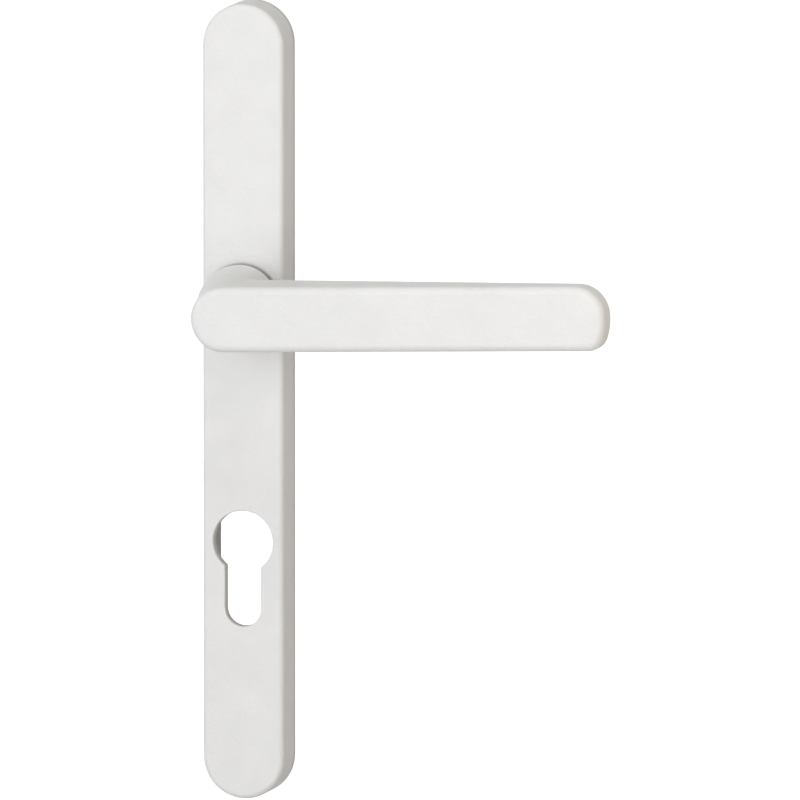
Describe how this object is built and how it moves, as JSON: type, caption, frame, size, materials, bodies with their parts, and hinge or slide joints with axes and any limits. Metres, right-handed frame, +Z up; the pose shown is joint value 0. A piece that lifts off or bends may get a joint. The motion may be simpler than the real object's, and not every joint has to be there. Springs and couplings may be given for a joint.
{
  "type": "lever handle on narrow backplate",
  "caption": "Outer half of a door handle set: sprung lever handle on a long narrow hollow backplate with an empty euro-profile cylinder cut-out, square spindle and hidden fixings.",
  "frame": {"origin": "on the spindle's axis, in the plane of the door face that the backplate's rim rests on", "axes": "+Z up, along the backplate; +X along the lever at rest; +Y into the door, so the handle stands at negative Y"},
  "size_m": [0.1313, 0.07, 0.232],
  "materials": {
    "plate_coat": "satin",
    "lever_coat": "satin",
    "bush_nylon": "matte",
    "sleeve_nylon": "matte",
    "zinc_sheet": "satin",
    "zinc_turned": "satin",
    "spindle_steel": "satin",
    "spring_steel": "satin",
    "black_oxide": "matte"
  },
  "bodies": {
    "plate": {"cover_plate": "plate_coat", "neck_bush": "bush_nylon", "cassette_base": "zinc_sheet", "cassette_cover": "zinc_sheet", "cassette_spacers": "zinc_turned", "cassette_screws": "zinc_turned", "centring_post": "zinc_turned", "stop_pins": "zinc_turned", "thrust_washer": "zinc_sheet", "return_spring": "spring_steel", "fixing_post_upper": "zinc_turned", "fixing_post_lower": "zinc_turned", "post_clips": "spring_steel"},
    "lever": {"lever_handle": "lever_coat", "driver_cam": "zinc_sheet", "spring_sleeve": "sleeve_nylon", "wave_washer": "spring_steel", "retaining_ring": "spring_steel", "spindle": "spindle_steel", "spindle_set_screw": "black_oxide", "spindle_pin": "spring_steel"}
  },
  "joints": [
    {"name": "lever_turn", "type": "hinge", "parent": "plate", "child": "lever", "pos_m": [0, 0, 0], "axis": [0, 1, 0], "range_deg": [-45, 45], "stiffness_Nm_per_rad": 1.5, "springref_deg": -4.7, "deforming": ["return_spring"]}
  ]
}
